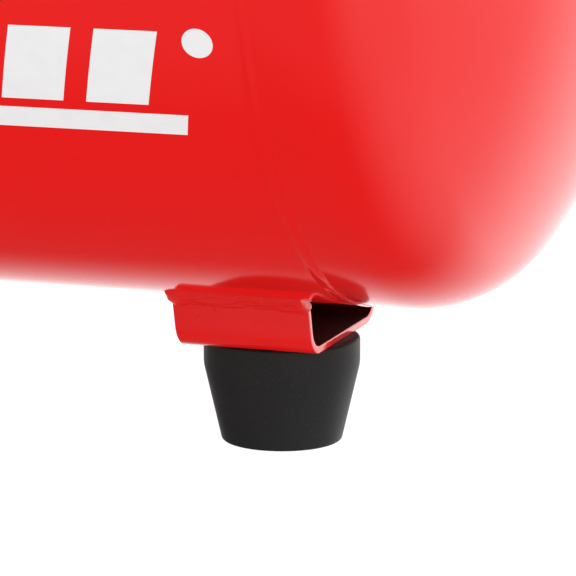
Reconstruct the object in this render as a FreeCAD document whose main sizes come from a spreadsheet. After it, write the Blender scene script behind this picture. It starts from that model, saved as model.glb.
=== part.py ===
import FreeCAD, Part
import math
import os
import re
import Sketcher
from FreeCAD import Placement, Rotation, Vector

# A 50 litre horizontal air receiver of a wheeled compressor, in millimetres.
# X runs along the tank towards the end with the rubber foot, -Y is the front,
# and the origin is on the floor under the middle of the tank.

DIMENSIONS = [
    ("tank_radius", 150, "outer radius of shell and heads"),
    ("wall", 2.5, "sheet of shell and heads"),
    ("axis_height", 198.5, "tank axis above the floor"),
    ("seam_x", 300, "girth seam from the middle of the tank"),
    ("root_gap", 2, "gap that a butt weld fills"),
    ("weld_crown", 0.4, "height of a flat weld above the sheet"),
    ("skirt", 15, "straight skirt of a head beyond the seam"),
    ("lip", 13, "joggled lip of a head inside the shell"),
    ("lip_gap", 0.1, "gap between lip and shell"),
    ("knuckle", 37, "knuckle radius of a head"),
    ("dish", 240, "crown radius of a head"),
    ("long_seam_height", 62, "long seam above the tank axis, at the back"),
    ("foot_x", 262, "foot from the middle of the tank"),
    ("foot_height", 33.7, "rubber foot, floor to bracket"),
    ("foot_top_radius", 25, "rubber foot at its collar"),
    ("foot_base_radius", 19.15, "rubber foot at the floor"),
    ("foot_collar", 8.5, "height of the straight collar"),
    ("foot_round", 1.5, "rounding of the lower edge"),
    ("recess_radius", 10.5, "recess for the bolt head"),
    ("recess_depth", 18, "depth of the recess"),
    ("insert_thickness", 2, "steel washer moulded into the foot"),
    ("bracket_length", 44.9, "foot bracket along the tank"),
    ("bracket_shift", -2.15, "bracket middle from the foot axis"),
    ("bracket_sheet", 2.4, "sheet of the foot bracket"),
    ("bracket_corner", 30.9, "half width of the bracket's base, to the virtual corner"),
    ("bracket_offset", 1.5, "bracket middle behind the foot axis"),
    ("bracket_flare", 15, "lean of the flanges, degrees"),
    ("bracket_bend", 10, "outer bend radius of the bracket"),
    ("bracket_reach", 19, "flanges up to the shell"),
    ("foot_bead", 4.8, "radius of the foot bracket's weld beads"),
    ("bead", 4.4, "radius of the other weld beads"),
    ("bolt_eight", 4, "M8 shank radius"),
    ("flats_eight", 13, "M8 head across flats"),
    ("head_eight", 5.3, "M8 head height"),
    ("nut_eight", 6.5, "M8 nut height"),
    ("clearance_eight", 4.5, "M8 clearance hole radius"),
    ("wheel_x", -262, "wheel axle from the middle of the tank"),
    ("wheel_radius", 80, "tyre radius"),
    ("wheel_width", 36, "tyre width"),
    ("rim_seat", 56, "radius of the tyre's seat on the rim"),
    ("rim_flange", 60, "radius of the rim's flanges"),
    ("hub_length", 42, "wheel hub"),
    ("hub_radius", 17, "wheel hub"),
    ("hub_inner", 150, "inner end of the hub from the middle plane"),
    ("side_play", 0.3, "gap at each end of the hub"),
    ("bush_radius", 9, "outer radius of the wheel bush"),
    ("bush_play", 0.06, "radial play of the bush on its bolt"),
    ("axle_radius", 6, "M12 axle bolt shank"),
    ("flats_twelve", 19, "M12 head across flats"),
    ("head_twelve", 7.5, "M12 head height"),
    ("nut_twelve", 10.8, "M12 nut height"),
    ("washer_twelve", 2.5, "M12 washer thickness"),
    ("washer_rim", 12, "M12 washer radius"),
    ("plate", 3, "sheet of wheel brackets and platform"),
    ("wheel_bracket_width", 50, "wheel bracket along the tank"),
    ("wheel_bracket_low", 60, "lower edge of a wheel bracket"),
    ("wheel_bracket_top", 142, "upper edge of a wheel bracket"),
    ("platform_length", 320, "pump platform along the tank"),
    ("platform_half", 100, "half width of the pump platform"),
    ("platform_top", 365, "top of the platform above the floor"),
    ("slot_pitch_long", 240, "platform slots along the tank"),
    ("slot_pitch_cross", 130, "platform slots across the tank"),
    ("slot_length", 24, "platform slot, end to end"),
    ("slot_radius", 4.5, "half width of a platform slot"),
    ("ear_inner", 80, "inner face of a handle ear from the middle plane"),
    ("ear_sheet", 4, "sheet of a handle ear"),
    ("ear_back", 30, "ear behind the lower bolt"),
    ("ear_front", 42, "ear beyond the lower bolt"),
    ("ear_rise", 36, "ear above the lower bolt"),
    ("handle_x", 240, "lower handle bolt along the tank"),
    ("handle_z", 349, "lower handle bolt above the floor"),
    ("handle_lean", 55, "handle above the horizontal, degrees"),
    ("handle_pitch", 25, "between the two bolts of a handle leg"),
    ("tube_radius", 12.5, "handle tube"),
    ("tube_wall", 2, "handle tube"),
    ("handle_reach", 150, "lower bolt to the grip's axis"),
    ("handle_bend", 45, "bend radius of the handle tube"),
    ("handle_tail", 15, "tube below the lower bolt"),
    ("grip_radius", 16, "outer radius of the grip"),
    ("grip_length", 96, "grip along the cross tube"),
    ("port_stand", 12, "socket above the shell"),
    ("port_depth", 6, "socket below the shell's outside"),
    ("port_half_bore", 9.3, "bore of a G1/2 socket"),
    ("port_half_radius", 15, "outside of a G1/2 socket"),
    ("port_three_bore", 7.5, "bore of a G3/8 thread"),
    ("port_three_radius", 12, "outside of a G3/8 socket"),
    ("port_quarter_bore", 5.7, "bore of a G1/4 thread"),
    ("port_quarter_radius", 10, "outside of a G1/4 socket"),
    ("port_eighth_bore", 4.3, "bore of a G1/8 thread"),
    ("thread_half", 14, "length of a G1/2 thread"),
    ("thread_quarter", 11, "length of a G1/4 thread"),
    ("check_x", 192, "check valve along the tank"),
    ("check_flats", 27, "check valve across flats"),
    ("check_rise", 26, "seat of the check valve above its socket"),
    ("check_floor", 8, "shelf under the check valve's spring, above its socket"),
    ("check_barrel", 13, "barrel of the check valve"),
    ("check_chamber", 9.5, "chamber of the check valve"),
    ("check_way", 4, "air way of the check valve"),
    ("check_coil", 4.8, "coil radius of the check spring"),
    ("check_wire", 0.7, "wire radius of the check spring"),
    ("hexagon_height", 9, "hexagons of the top valves"),
    ("cap_height", 16, "cap of the check valve"),
    ("cap_floor", 3.5, "floor of the cap, over the disc"),
    ("disc_thickness", 4, "check disc"),
    ("disc_boss", 3.5, "radius of the boss that centres the check spring"),
    ("side_port_height", 17, "unloader port above the socket"),
    ("side_port_radius", 7, "outside of the unloader port"),
    ("side_port_reach", 21, "unloader port from the valve's axis"),
    ("bleed_radius", 1.2, "way into the unloader port"),
    ("switch_x", -190, "open pressure switch port along the tank"),
    ("safety_x", -232, "safety valve along the tank"),
    ("valve_flats", 17, "safety and drain valve across flats"),
    ("nozzle_radius", 5.5, "nozzle of the safety valve"),
    ("nozzle_height", 12, "nozzle above the socket"),
    ("nozzle_way", 2.5, "air way of the safety valve"),
    ("safety_rise", 34, "roof of the safety valve above its socket"),
    ("safety_barrel", 8.5, "bonnet of the safety valve"),
    ("safety_room", 6.6, "room for the safety spring"),
    ("safety_disc", 5.2, "disc of the safety valve"),
    ("safety_coil", 3.6, "coil radius of the safety spring"),
    ("safety_wire", 0.6, "wire radius of the safety spring"),
    ("vent_radius", 1.6, "cross hole that lets the air out"),
    ("stem_radius", 1.5, "stem of the safety valve"),
    ("stem_length", 34, "stem of the safety valve"),
    ("roof_thickness", 3, "roof and disc of the safety valve"),
    ("knob_radius", 7.5, "pull knob"),
    ("knob_height", 8, "pull knob"),
    ("knob_lift", 3.5, "pull knob above the roof"),
    ("knurl_radius", 0.55, "grooves of the pull knob"),
    ("drain_stand", 5, "drain socket below the shell"),
    ("drain_barrel", 7, "barrel of the drain valve"),
    ("drain_length", 17, "drain valve below its socket"),
    ("drain_room", 4.5, "bore for the drain screw"),
    ("drain_way", 1.8, "water way of the drain valve"),
    ("spout_depth", 12.5, "spout below the drain socket"),
    ("spout_radius", 3.5, "outside of the spout"),
    ("spout_length", 13, "spout from the drain's axis"),
    ("needle_depth", 10.3, "foot of the needle below the drain socket"),
    ("needle_height", 3, "each half of the needle"),
    ("screw_length", 12, "threaded shank of the drain screw"),
    ("wing_hub", 5.5, "hub of the wing screw"),
    ("wing_height", 9, "hub and wings of the wing screw"),
    ("wing_reach", 14, "wings from the axis"),
    ("wing_sheet", 3, "thickness of a wing"),
    ("boss_radius", 22, "inspection boss"),
    ("boss_bore", 15.15, "bore of the G1 inspection boss"),
    ("boss_stand", 6, "boss beyond the head's crown"),
    ("boss_depth", 9, "boss inside the head's crown"),
    ("plug_flats", 36, "inspection plug across flats"),
    ("plug_head", 9, "inspection plug head"),
    ("seal_thickness", 1.5, "sealing ring of an inspection plug"),
    ("seal_radius", 20.5, "sealing ring of an inspection plug"),
    ("fillet_weld", 3.5, "leg of a fillet weld round a socket"),
    ("valve_gap", 0.3, "gap between a valve disc and its seat at rest"),
    ("slide_play", 0.06, "radial play of a sliding valve part"),
    ("spring_gap", 0.2, "gap between a spring and what it bears on"),
    ("label_x", -120, "data plate along the tank"),
    ("label_length", 90, "data plate along the tank"),
    ("label_width", 50, "data plate up the tank"),
    ("label_sheet", 0.8, "sheet of the data plate"),
]

ALIASES = {alias for alias, _, _ in DIMENSIONS}
EAST = Vector(1, 0, 0)
FRONT, BACK = Vector(0, -1, 0), Vector(0, 1, 0)
UP, DOWN = Vector(0, 0, 1), Vector(0, 0, -1)

doc = FreeCAD.newDocument("air_receiver_tank")
sheet = doc.addObject("Spreadsheet::Sheet", "dims")
nodes = []


def fill_sheet():
    for row, (alias, value, note) in enumerate(DIMENSIONS, start=1):
        sheet.set(f"A{row}", alias)
        sheet.set(f"B{row}", str(value))
        sheet.set(f"C{row}", note)
        sheet.setAlias(f"B{row}", alias)
    doc.recompute()


def ex(text):
    """Turn words of the sheet into the expression that reads its cells."""
    return re.sub(r"[a-z_]+", lambda word: f"dims.{word[0]}" if word[0] in ALIASES else word[0], str(text))


def value(text):
    return float(sheet.evalExpression(ex(text)))


def bind(thing, **sizes):
    for name, text in sizes.items():
        thing.setExpression(name, ex(text))
    return thing


def place(thing, x=0, y=0, z=0, towards=UP, start=UP):
    """Turn the object's own start direction towards another one, then bind its position."""
    thing.Placement = Placement(Vector(), Rotation(start, towards))
    for axis, text in zip("xyz", (x, y, z)):
        thing.setExpression(f".Placement.Base.{axis}", ex(text))
    return thing


def node(thing, label):
    thing.Label = label
    nodes.append(thing)
    return thing


def cylinder(radius, length, x=0, y=0, z=0, towards=UP):
    thing = bind(doc.addObject("Part::Cylinder", "Cylinder"), Radius=radius, Height=length)
    return place(thing, x, y, z, towards)


def cone(low, high, length, x=0, y=0, z=0, towards=UP):
    thing = bind(doc.addObject("Part::Cone", "Cone"), Radius1=low, Radius2=high, Height=length)
    return place(thing, x, y, z, towards)


def box(long, wide, high, x, y, z):
    """Box centred on x and y, standing on z."""
    thing = bind(doc.addObject("Part::Box", "Box"), Length=long, Width=wide, Height=high)
    return place(thing, f"{x} - ({long}) / 2", f"{y} - ({wide}) / 2", z)


def cut(base, *tools):
    thing = doc.addObject("Part::Cut", "Cut")
    thing.Base = base
    thing.Tool = tools[0] if len(tools) == 1 else fuse(*tools)
    return thing


def fuse(*parts):
    thing = doc.addObject("Part::MultiFuse", "Fuse")
    thing.Shapes = list(parts)
    thing.Refine = True
    return thing


def common(*parts):
    thing = doc.addObject("Part::MultiCommon", "Common")
    thing.Shapes = list(parts)
    return thing


def group(*parts):
    thing = doc.addObject("Part::Compound", "Group")
    thing.Links = list(parts)
    return thing


def mirror(source, normal):
    thing = doc.addObject("Part::Mirroring", "Mirror")
    thing.Source = source
    thing.Normal = normal
    return thing


def tube(outer, inner, length, x=0, y=0, z=0, towards=UP):
    return cut(cylinder(outer, length, x, y, z, towards), cylinder(inner, length, x, y, z, towards))


def hexagon(flats, height, x=0, y=0, z=0, towards=UP):
    """Hexagon whose far end is chamfered at 30 degrees."""
    prism = bind(doc.addObject("Part::Prism", "Prism"), Circumradius=f"{flats} / sqrt(3)", Height=height)
    place(prism, x, y, z, towards)
    chamfer = cone(f"{flats} * 0.475 + ({height}) * sqrt(3)", f"{flats} * 0.475", height, x, y, z, towards)
    return common(prism, chamfer)


def body_with(name):
    return doc.addObject("PartDesign::Body", name)


def plane_of(body, role):
    return next(plane for plane in body.Origin.OriginFeatures if plane.Role == role)


def arc_centre(start, end, radius):
    """Centre of the arc from start to end; a positive radius turns left, a negative one right."""
    chord = end - start
    rise = math.sqrt(max(radius * radius - chord.Length ** 2 / 4, 0))
    side = Vector(-chord.y, chord.x, 0).normalize()
    return (start + end) / 2 + side * math.copysign(rise, radius)


def add_arc(sketch, index, start, end, radius):
    centre = arc_centre(start, end, radius)
    first, last = (start, end) if radius > 0 else (end, start)
    angles = [math.atan2(point.y - centre.y, point.x - centre.x) for point in (first, last)]
    sketch.addGeometry(Part.ArcOfCircle(Part.Circle(centre, UP, abs(radius)), *angles), False)
    return (1, 2) if radius > 0 else (2, 1)


def outline(body, role, points, closed=True, offset="0"):
    """Sketch through (across, up) points; a third entry is the radius of the side that leaves the point."""
    sketch = body.newObject("Sketcher::SketchObject", "Outline")
    sketch.AttachmentSupport = [(plane_of(body, role), "")]
    sketch.MapMode = "FlatFace"
    sketch.setExpression(".AttachmentOffset.Base.z", ex(offset))
    spots = [Vector(value(point[0]), value(point[1]), 0) for point in points]
    sides = len(points) if closed else len(points) - 1
    ends = []
    for index in range(sides):
        start, end = spots[index], spots[(index + 1) % len(spots)]
        if len(points[index]) == 3:
            ends.append(add_arc(sketch, index, start, end, value(points[index][2])))
        else:
            sketch.addGeometry(Part.LineSegment(start, end), False)
            ends.append((1, 2))
    for index in range(sides if closed else sides - 1):
        other = (index + 1) % sides
        sketch.addConstraint(Sketcher.Constraint("Coincident", index, ends[index][1], other, ends[other][0]))
    for index, point in enumerate(points):
        side, end = (index, ends[index][0]) if index < sides else (index - 1, ends[index - 1][1])
        pin(sketch, side, end, index, point)
        if len(point) == 3:
            name = sketch.addConstraint(Sketcher.Constraint("Radius", index, abs(value(point[2]))))
            sketch.renameConstraint(name, f"r{index}")
            sketch.setExpression(f"Constraints.r{index}", ex(f"abs({point[2]})"))
    return sketch


def pin(sketch, side, end, index, point):
    for letter, kind, axis, text in (("x", "DistanceX", -2, point[0]), ("y", "DistanceY", -1, point[1])):
        size = value(text)
        if abs(size) < 1e-9:
            sketch.addConstraint(Sketcher.Constraint("PointOnObject", side, end, axis))
            continue
        name = sketch.addConstraint(Sketcher.Constraint(kind, -1, 1, side, end, size))
        sketch.renameConstraint(name, f"{letter}{index}")
        sketch.setExpression(f"Constraints.{letter}{index}", ex(text))


def pad(name, role, points, length, offset="0"):
    """Outline padded both ways from its plane."""
    body = body_with(name)
    feature = body.newObject("PartDesign::Pad", "Pad")
    feature.Profile = outline(body, role, points, offset=offset)
    feature.SideType = "Symmetric"
    return bind_body(body, feature, Length=length)


def turned(name, role, points, axis):
    """Outline turned a full circle round the sketch's own axis."""
    body = body_with(name)
    sketch = outline(body, role, points)
    feature = body.newObject("PartDesign::Revolution", "Revolution")
    feature.Profile = sketch
    feature.ReferenceAxis = (sketch, [axis])
    feature.Angle = 360
    body.Tip = feature
    return body


def bind_body(body, feature, **sizes):
    bind(feature, **sizes)
    body.Tip = feature
    return body


def round_edges(body, radius, wanted):
    """Round the edges of the body's last feature whose middle point is wanted."""
    doc.recompute()
    base = body.Tip
    names = []
    for index, edge in enumerate(base.Shape.Edges, start=1):
        middle = edge.valueAt((edge.FirstParameter + edge.LastParameter) / 2)
        if wanted(edge, middle):
            names.append(f"Edge{index}")
    feature = body.newObject("PartDesign::Fillet", "Fillet")
    feature.Base = (base, names)
    return bind_body(body, feature, Radius=radius)


def runs_along(edge, direction):
    chord = edge.Vertexes[-1].Point - edge.Vertexes[0].Point
    return chord.Length > 1 and abs(chord.normalize().dot(direction)) > 0.999


# ---- pressure vessel -------------------------------------------------------

HEAD_SPAN = "sqrt((dish - knuckle) ^ 2 - (tank_radius - knuckle) ^ 2)"
HEAD_TANGENT = "(seam_x + skirt)"
DISH_CENTRE = f"({HEAD_TANGENT} - {HEAD_SPAN})"
HEAD_APEX = f"({DISH_CENTRE} + dish)"


def head_join(radius):
    """Point where the crown arc of this radius meets the knuckle arc."""
    across = f"{DISH_CENTRE} + ({radius}) * {HEAD_SPAN} / (dish - knuckle)"
    return across, f"({radius}) * (tank_radius - knuckle) / (dish - knuckle)"


def head_envelope():
    """The head as a filled shape, for trimming what is welded to its outside."""
    join = head_join("dish")
    points = [
        (HEAD_APEX, "0", "dish"),
        (*join, "knuckle"),
        (HEAD_TANGENT, "tank_radius"),
        ("seam_x", "tank_radius"),
        ("seam_x", "0"),
    ]
    return place(turned("HeadEnvelope", "XZ_Plane", points, "H_Axis"), z="axis_height")


def dished_head():
    outer, inner = head_join("dish"), head_join("dish - wall")
    bore = "tank_radius - wall"
    lip_outer = f"{bore} - lip_gap"
    lip_inner = f"{bore} - lip_gap - wall"
    points = [
        (HEAD_APEX, "0", "dish"),
        (*outer, "knuckle"),
        (HEAD_TANGENT, "tank_radius"),
        ("seam_x + root_gap / 2", "tank_radius"),
        ("seam_x + root_gap / 2", lip_outer),
        ("seam_x - lip", lip_outer),
        ("seam_x - lip", lip_inner),
        ("seam_x + wall", lip_inner),
        ("seam_x + 2 * wall", bore),
        (HEAD_TANGENT, bore, "wall - knuckle"),
        (*inner, "wall - dish"),
        (f"{HEAD_APEX} - wall", "0"),
    ]
    plain = place(turned("Head", "XZ_Plane", points, "H_Axis"), z="axis_height")
    return cut(plain, cylinder("boss_radius", "4 * boss_depth", f"{HEAD_APEX} - 2 * boss_depth", 0,
                               "axis_height", EAST))


def tank_cylinder(radius="tank_radius", half="seam_x"):
    return cylinder(radius, f"2 * ({half})", f"-({half})", 0, "axis_height", EAST)


def long_seam_box(width, depth):
    """Bar through the wall at the back, where the rolled sheet meets itself."""
    across = "sqrt(tank_radius ^ 2 - long_seam_height ^ 2)"
    low = f"axis_height + long_seam_height - ({width}) / 2"
    return box("2 * seam_x - root_gap", depth, width, 0, across, low)


def port_holes():
    return [
        cylinder("port_half_radius", "2 * tank_radius", "check_x", 0, "axis_height"),
        cylinder("port_three_radius", "2 * tank_radius", "switch_x", 0, "axis_height"),
        cylinder("port_quarter_radius", "2 * tank_radius", "safety_x", 0, "axis_height"),
        cylinder("port_quarter_radius", "2 * tank_radius", 0, 0, "axis_height", DOWN),
    ]


def build_vessel():
    half = "seam_x - root_gap / 2"
    plain = tank_cylinder(half=half)
    inside = tank_cylinder("tank_radius - wall", half)
    node(cut(plain, inside, long_seam_box("root_gap", "8 * wall"), *port_holes()), "shell")
    head = node(dished_head(), "head_right")
    node(mirror(head, EAST), "head_left")
    ring = tube("tank_radius + weld_crown", "tank_radius - wall - lip_gap", "root_gap",
                "seam_x - root_gap / 2", 0, "axis_height", EAST)
    girth = node(ring, "girth_weld_right")
    node(mirror(girth, EAST), "girth_weld_left")
    root = common(long_seam_box("root_gap", "8 * wall"),
                  tube("tank_radius", "tank_radius - wall", f"2 * ({half})", f"-({half})", 0,
                       "axis_height", EAST))
    crown = common(long_seam_box("2.5 * root_gap", "8 * wall"),
                   tube("tank_radius + weld_crown", "tank_radius", f"2 * ({half})", f"-({half})", 0,
                        "axis_height", EAST))
    node(fuse(root, crown), "seam_weld")


# ---- foot ------------------------------------------------------------------

BRACKET_X = "foot_x + bracket_shift"
BRACKET_RISE = "(bracket_reach + 7)"
BRACKET_EDGE = "(bracket_corner + bracket_reach * tan(bracket_flare))"


def bracket_outline(inset):
    """Flared channel section, inset by a sheet thickness for its inner side."""
    corner = f"(bracket_corner - ({inset}) * tan((90 - bracket_flare) / 2))"
    low = f"(foot_height + {inset})"
    reach = f"({BRACKET_RISE} - ({inset}))"
    edge = f"({corner} + {reach} * tan(bracket_flare))"
    high = f"(foot_height + {BRACKET_RISE})"
    return [(f"-{corner}", low), (corner, low), (edge, high), (f"-{edge}", high)]


def bracket_block(inset, bend, length):
    block = pad("BracketBlock", "YZ_Plane", bracket_outline(inset), length)
    round_edges(block, bend,
                lambda edge, middle: runs_along(edge, EAST) and middle.z < value("foot_height") + 8)
    return place(block, BRACKET_X, "bracket_offset")


def bracket_bead(side):
    """Weld bead in the corner between the shell and one flange."""
    across = f"(bracket_offset + {side} * ({BRACKET_EDGE} + 1.5))"
    junction = f"(axis_height - sqrt(tank_radius ^ 2 - {across} ^ 2))"
    bead = cylinder("foot_bead", "bracket_length + 3", f"{BRACKET_X} - bracket_length / 2 - 1.5", across,
                    f"{junction} - 1.5", EAST)
    return cut(bead, tank_cylinder(), bracket_block("0", "bracket_bend", "2 * bracket_length"))


def build_foot():
    outer = bracket_block("0", "bracket_bend", "bracket_length")
    inner = bracket_block("bracket_sheet", "bracket_bend - bracket_sheet", "2 * bracket_length")
    bolt_hole = cylinder("clearance_eight", "20", "foot_x", 0, "foot_height - 5")
    node(cut(outer, inner, tank_cylinder(), bolt_hole), "foot_bracket")
    node(group(bracket_bead(-1), bracket_bead(1)), "foot_bracket_welds")
    build_rubber_foot()


def build_rubber_foot():
    taper = "(foot_top_radius - foot_base_radius)"
    rubber = turned("RubberFoot", "XZ_Plane", [
        ("recess_radius", "0"),
        ("foot_base_radius", "0"),
        ("foot_top_radius", "foot_height - foot_collar"),
        ("foot_top_radius", "foot_height"),
        ("clearance_eight", "foot_height"),
        ("clearance_eight", "recess_depth + insert_thickness"),
        ("recess_radius", "recess_depth + insert_thickness"),
    ], "V_Axis")
    round_edges(rubber, "foot_round",
                lambda edge, middle: abs(middle.z) < 0.01 and is_ring(edge, "foot_base_radius"))
    collar = value(f"foot_height - {taper}")
    round_edges(rubber, "foot_round / 3",
                lambda edge, middle: is_ring(edge, "foot_top_radius") and middle.z > collar)
    node(place(rubber, "foot_x"), "rubber_foot")
    insert = tube("recess_radius", "clearance_eight", "insert_thickness", "foot_x", 0, "recess_depth")
    node(insert, "foot_insert")
    shank_top = "foot_height + bracket_sheet + nut_eight + 3"
    bolt = fuse(hexagon("flats_eight", "head_eight", "foot_x", 0, "recess_depth", DOWN),
                cylinder("bolt_eight", f"{shank_top} - recess_depth", "foot_x", 0, "recess_depth"))
    node(bolt, "foot_bolt")
    seat = "foot_height + bracket_sheet"
    flange = cone("flats_eight * 0.65", "flats_eight / 2", "1.5", "foot_x", 0, seat)
    nut = fuse(flange, hexagon("flats_eight", "nut_eight", "foot_x", 0, seat))
    node(cut(nut, cylinder("bolt_eight", "nut_eight * 2", "foot_x", 0, seat)), "foot_nut")


def is_ring(edge, radius):
    return hasattr(edge.Curve, "Radius") and abs(edge.Curve.Radius - value(radius)) < 0.01


# ---- wheels ----------------------------------------------------------------

HUB_MIDDLE = "(hub_inner + hub_length / 2)"
PLATE_FACE = "(hub_inner - side_play - washer_twelve)"
HEAD_FACE = "(hub_inner + hub_length + side_play + washer_twelve)"
RIM_HALF = "(wheel_width / 2 - 3)"


def wheel_part(name, points):
    return place(turned(name, "YZ_Plane", points, "H_Axis"), "wheel_x", f"-{HUB_MIDDLE}", "wheel_radius")


def mirrored_outline(half):
    """Whole outline from the half with positive across values."""
    return half + [(f"-({across})", up) for across, up in reversed(half)]


def build_rim():
    half = [
        ("hub_length / 2", "bush_radius"),
        ("hub_length / 2", "hub_radius"),
        ("4.5", "hub_radius + 4"),
        ("2.5", "hub_radius + 9"),
        ("2.5", "rim_seat - 9"),
        (RIM_HALF, "rim_seat - 6"),
        (f"{RIM_HALF} + 2", "rim_seat - 5"),
        (f"{RIM_HALF} + 2", "rim_flange"),
        (RIM_HALF, "rim_flange"),
        (RIM_HALF, "rim_seat"),
    ]
    turned_rim = wheel_part("Rim", mirrored_outline(half))
    windows = []
    for index in range(6):
        angle = 60 * index + 30
        windows.append(cylinder("8.5", "20", f"wheel_x + 35.5 * cos({angle})", f"10 - {HUB_MIDDLE}",
                                f"wheel_radius + 35.5 * sin({angle})", FRONT))
    return cut(turned_rim, *windows)


def build_tyre():
    grooves = []
    for middle in (9, 0, -9):
        for across, depth in ((1.3, 0), (1.3, 2), (-1.3, 2), (-1.3, 0)):
            grooves.append((f"{middle} + {across}", f"wheel_radius - {depth}"))
    shoulder = [(RIM_HALF, "rim_seat"), (RIM_HALF, "rim_flange"), ("wheel_width / 2", "rim_flange + 1"),
                ("wheel_width / 2", "wheel_radius - 8"), ("wheel_width / 2 - 4", "wheel_radius - 1.2"),
                ("wheel_width / 2 - 6", "wheel_radius")]
    far = [(f"-({across})", up) for across, up in reversed(shoulder)]
    return wheel_part("Tyre", shoulder + grooves + far)


def build_wheel_bracket():
    half = "(wheel_bracket_width / 2)"
    channel = body_with("WheelBracket")
    middle = "(wheel_bracket_low + wheel_bracket_top) / 2"
    points = [
        (f"-{half}", "-tank_radius / 3"), (f"-{half}", f"-{PLATE_FACE}"), (half, f"-{PLATE_FACE}"),
        (half, "-tank_radius / 3"), (f"{half} - plate", "-tank_radius / 3"),
        (f"{half} - plate", f"plate - {PLATE_FACE}"), (f"plate - {half}", f"plate - {PLATE_FACE}"),
        (f"plate - {half}", "-tank_radius / 3"),
    ]
    feature = channel.newObject("PartDesign::Pad", "Pad")
    feature.Profile = outline(channel, "XY_Plane", points, offset=middle)
    feature.SideType = "Symmetric"
    bind_body(channel, feature, Length="wheel_bracket_top - wheel_bracket_low")
    face = value(PLATE_FACE)
    round_edges(channel, "plate * 1.6", lambda edge, spot: runs_along(edge, UP) and abs(spot.y + face) < 0.01)
    round_edges(channel, "plate * 0.6",
                lambda edge, spot: runs_along(edge, UP) and abs(spot.y + face - value("plate")) < 0.01)
    place(channel, "wheel_x")
    side = pad("WheelBracketSide", "YZ_Plane", [
        (f"-{PLATE_FACE}", "wheel_bracket_low"), (f"-{PLATE_FACE}", "wheel_bracket_top"),
        ("-tank_radius / 2", "wheel_bracket_top"), ("-tank_radius / 2", "wheel_bracket_low + 38"),
        (f"12 - {PLATE_FACE}", "wheel_bracket_low"),
    ], "2 * wheel_bracket_width")
    place(side, "wheel_x")
    hole = cylinder("axle_radius + 0.5", "30", "wheel_x", f"15 - {PLATE_FACE}", "wheel_radius", FRONT)
    return cut(common(channel, side), tank_cylinder(), hole)


def build_wheel_bracket_welds():
    """Beads where the two flanges of a wheel bracket meet the shell."""
    beads = []
    for side in (1, -1):
        ring = bind(doc.addObject("Part::Torus", "Torus"), Radius1="tank_radius", Radius2="bead * 0.75")
        place(ring, f"wheel_x + {side} * wheel_bracket_width / 2", 0, "axis_height", EAST)
        window = box("4 * bead", "60", "50", f"wheel_x + {side} * (wheel_bracket_width / 2 + 2 * bead)",
                     "-118", "wheel_bracket_low + 28")
        beads.append(cut(common(ring, window), tank_cylinder()))
    return beads


def washer(face, thickness):
    return tube("washer_rim", "axle_radius", thickness, "wheel_x", f"-({face})", "wheel_radius", FRONT)


def build_wheels():
    sides = [("wheel_rim", build_rim()), ("wheel_tyre", build_tyre())]
    bush = tube("bush_radius", "axle_radius + bush_play", "hub_length", "wheel_x", "-hub_inner",
                "wheel_radius", FRONT)
    sides.append(("wheel_bush", bush))
    nut_face = f"({PLATE_FACE} - plate - washer_twelve)"
    tip = f"({nut_face} - nut_twelve - 3)"
    bolt = fuse(hexagon("flats_twelve", "head_twelve", "wheel_x", f"-{HEAD_FACE}", "wheel_radius", FRONT),
                cylinder("axle_radius", f"{HEAD_FACE} - {tip}", "wheel_x", f"-{tip}", "wheel_radius", FRONT))
    sides.append(("axle_bolt", bolt))
    washers = group(*[washer(face, "washer_twelve")
                      for face in ("hub_inner + hub_length + side_play", PLATE_FACE, nut_face)])
    sides.append(("axle_washers", washers))
    nut = cut(hexagon("flats_twelve", "nut_twelve", "wheel_x", f"-{nut_face}", "wheel_radius", BACK),
              cylinder("axle_radius", "2 * nut_twelve", "wheel_x", f"-{nut_face}", "wheel_radius", BACK))
    sides.append(("axle_nut", nut))
    sides.append(("wheel_bracket", build_wheel_bracket()))
    for name, thing in sides:
        node(thing, f"{name}_front")
        node(mirror(thing, BACK), f"{name}_rear")
    beads = build_wheel_bracket_welds()
    node(group(*beads, *[mirror(bead, BACK) for bead in beads]), "wheel_bracket_welds")


# ---- pump platform ---------------------------------------------------------


def platform_block(inset, length):
    half = f"(platform_half - {inset})"
    top = f"(platform_top - {inset})"
    low = "axis_height + 60"
    outline = [(f"-{half}", low), (half, low), (half, top), (f"-{half}", top)]
    block = pad("PlatformBlock", "YZ_Plane", outline, length)
    bend = f"3 * plate - {inset}"
    return round_edges(block, bend,
                       lambda edge, spot: runs_along(edge, EAST) and spot.z > value("platform_top") - 4)


def slot_cutter(long_side, cross_side):
    x = f"({long_side} * slot_pitch_long / 2)"
    y = f"({cross_side} * slot_pitch_cross / 2)"
    low = "platform_top - 2 * plate"
    half = "(slot_length / 2 - slot_radius)"
    middle = box(f"2 * {half}", "2 * slot_radius", "4 * plate", x, y, low)
    ends = [cylinder("slot_radius", "4 * plate", f"{x} + {side} * {half}", y, low) for side in (1, -1)]
    return fuse(middle, *ends)


def build_platform():
    outer = platform_block("0", "platform_length")
    inner = platform_block("plate", "2 * platform_length")
    slots = [slot_cutter(a, b) for a in (1, -1) for b in (1, -1)]
    node(cut(outer, inner, tank_cylinder(), *slots), "pump_platform")
    envelope = platform_block("0", "2 * platform_length")
    meet_z = "(axis_height + sqrt(tank_radius ^ 2 - platform_half ^ 2))"
    beads = []
    for index in (-1, 0, 1):
        bead = cylinder("bead * 0.8", "46", f"{index} * platform_length * 0.4 - 23", "-platform_half - 1",
                        f"{meet_z} - 0.5", EAST)
        bead = cut(bead, tank_cylinder(), envelope)
        beads += [bead, mirror(bead, BACK)]
    node(group(*beads), "platform_welds")


# ---- handle ----------------------------------------------------------------

TUBE_LINE = "(ear_inner + ear_sheet + tube_radius)"


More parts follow.
